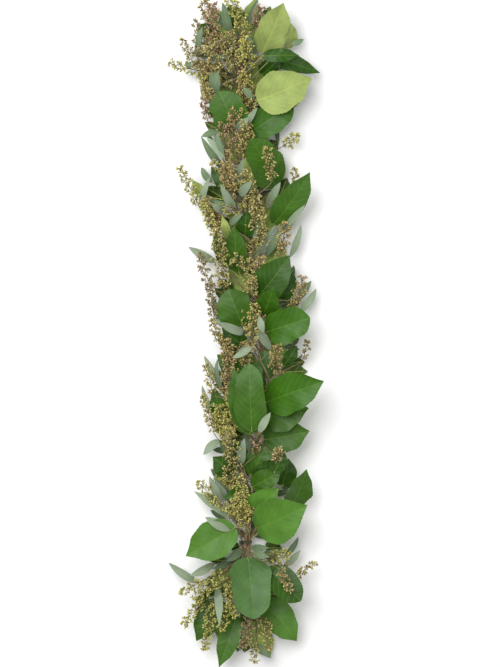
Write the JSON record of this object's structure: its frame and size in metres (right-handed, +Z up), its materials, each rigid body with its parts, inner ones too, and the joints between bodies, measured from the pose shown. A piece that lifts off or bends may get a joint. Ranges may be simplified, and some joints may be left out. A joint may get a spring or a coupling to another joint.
{
  "type": "lemon leaf and eucalyptus garland",
  "caption": "Long garland of glossy lemon leaf and seeded eucalyptus, cut stems bound in overlapping bunches along a twine core, lying flat on its back",
  "frame": {"origin": "centre of the bounding box in plan, on the surface that the garland lies on", "axes": "+Y along the garland to the end that most of the bunches point to, +Z up, away from the surface, +X across the garland to its lemon leaf side"},
  "size_m": [0.2808, 1.212, 0.1097],
  "materials": {
    "lemon_leaf": "glossy leathery green leaf, paler and matt underneath",
    "eucalyptus_leaf": "matt grey-green leaf with a waxy bloom",
    "eucalyptus_seed": "matt olive buds, flushed yellow-green and dusky pink",
    "twine": "twisted natural twine",
    "wire": "thin green binding wire"
  },
  "bodies": {
    "root": {"binding_wire": "wire", "core_twine": "twine", "eucalyptus_01": "eucalyptus_leaf", "eucalyptus_02": "eucalyptus_leaf", "eucalyptus_03": "eucalyptus_leaf", "eucalyptus_04": "eucalyptus_leaf", "eucalyptus_05": "eucalyptus_leaf", "eucalyptus_06": "eucalyptus_leaf", "eucalyptus_07": "eucalyptus_leaf", "eucalyptus_08": "eucalyptus_leaf", "eucalyptus_09": "eucalyptus_leaf", "eucalyptus_10": "eucalyptus_leaf", "eucalyptus_11": "eucalyptus_leaf", "eucalyptus_12": "eucalyptus_leaf", "eucalyptus_13": "eucalyptus_leaf", "eucalyptus_14": "eucalyptus_leaf", "eucalyptus_back_02": "eucalyptus_leaf", "eucalyptus_back_05": "eucalyptus_leaf", "eucalyptus_back_08": "eucalyptus_leaf", "eucalyptus_back_11": "eucalyptus_leaf", "eucalyptus_back_14": "eucalyptus_leaf", "lemon_02": "lemon_leaf", "lemon_03": "lemon_leaf", "lemon_04": "lemon_leaf", "lemon_05": "lemon_leaf", "lemon_06": "lemon_leaf", "lemon_07": "lemon_leaf", "lemon_08": "lemon_leaf", "lemon_09": "lemon_leaf", "lemon_10": "lemon_leaf", "lemon_11": "lemon_leaf", "lemon_12": "lemon_leaf", "lemon_13": "lemon_leaf", "lemon_14": "lemon_leaf", "lemon_back_01": "lemon_leaf", "lemon_back_03": "lemon_leaf", "lemon_back_04": "lemon_leaf", "lemon_back_06": "lemon_leaf", "lemon_back_07": "lemon_leaf", "lemon_back_09": "lemon_leaf", "lemon_back_10": "lemon_leaf", "lemon_back_12": "lemon_leaf", "lemon_back_13": "lemon_leaf", "seeds_01": "eucalyptus_seed", "seeds_02": "eucalyptus_seed", "seeds_03": "eucalyptus_seed", "seeds_04": "eucalyptus_seed", "seeds_05": "eucalyptus_seed", "seeds_06": "eucalyptus_seed", "seeds_07": "eucalyptus_seed", "seeds_08": "eucalyptus_seed", "seeds_09": "eucalyptus_seed", "seeds_10": "eucalyptus_seed", "seeds_11": "eucalyptus_seed", "seeds_12": "eucalyptus_seed", "seeds_13": "eucalyptus_seed", "seeds_14": "eucalyptus_seed"}
  },
  "joints": []
}
